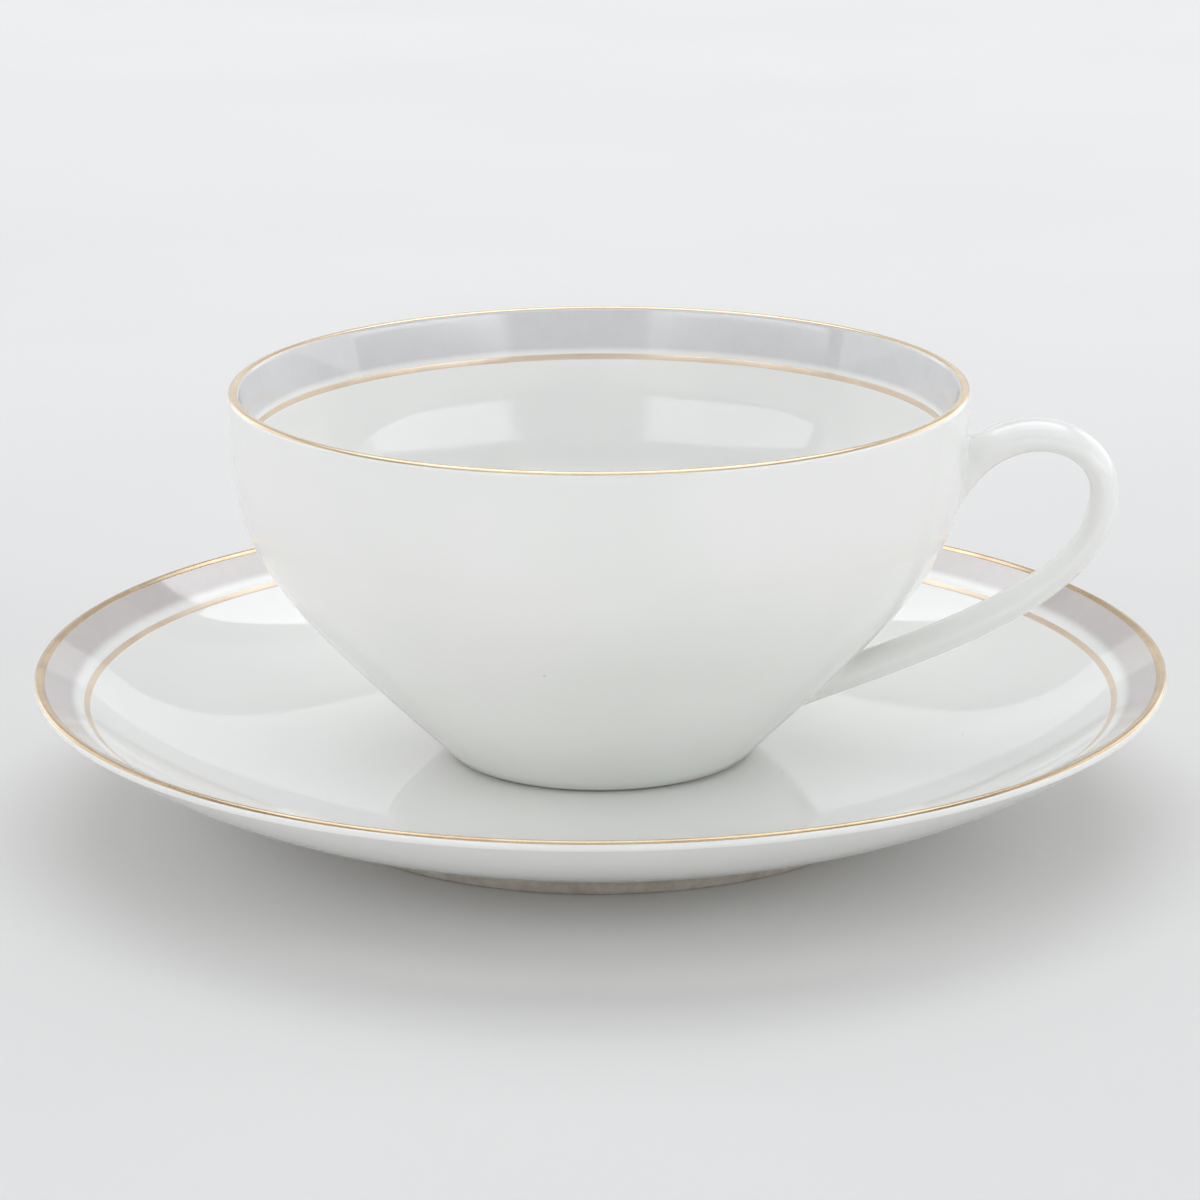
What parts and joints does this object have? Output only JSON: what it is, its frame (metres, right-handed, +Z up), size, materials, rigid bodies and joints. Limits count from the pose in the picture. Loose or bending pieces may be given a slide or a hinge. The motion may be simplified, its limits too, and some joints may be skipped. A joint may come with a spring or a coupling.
{
  "type": "teacup and saucer",
  "caption": "Round porcelain teacup with a slim loop handle, grey inner band and gilded lip, standing on its matching saucer.",
  "frame": {"origin": "centre of the saucer's foot ring at table level, on the common axis of saucer and cup", "axes": "+Z up along the common axis; +X from the axis towards the middle of the cup's handle; +Y to the left of the handle"},
  "size_m": [0.154, 0.154, 0.0585],
  "materials": {
    "porcelain_glaze": "white hard porcelain under a clear high-gloss glaze",
    "grey_glaze": "warm grey overglaze band, fired glossy",
    "burnished_gold": "thin fired bright gold, burnished, slightly rubbed",
    "bare_clay": "unglazed ground foot, matt"
  },
  "bodies": {
    "saucer": {"saucer_plate": "porcelain_glaze", "saucer_foot_ring": "bare_clay", "saucer_rim_gilding": "burnished_gold", "saucer_grey_band": "grey_glaze", "saucer_gold_line": "burnished_gold"},
    "cup": {"cup_bowl": "porcelain_glaze", "cup_foot_ring": "bare_clay", "cup_rim_gilding": "burnished_gold", "cup_grey_band": "grey_glaze", "cup_gold_line": "burnished_gold", "handle": "porcelain_glaze", "handle_upper_slip": "porcelain_glaze", "handle_lower_slip": "porcelain_glaze"}
  },
  "joints": [
    {"name": "cup_lift", "type": "slide", "parent": "saucer", "child": "cup", "axis": [0, 0, 1], "range_m": [0, 0.04]}
  ]
}
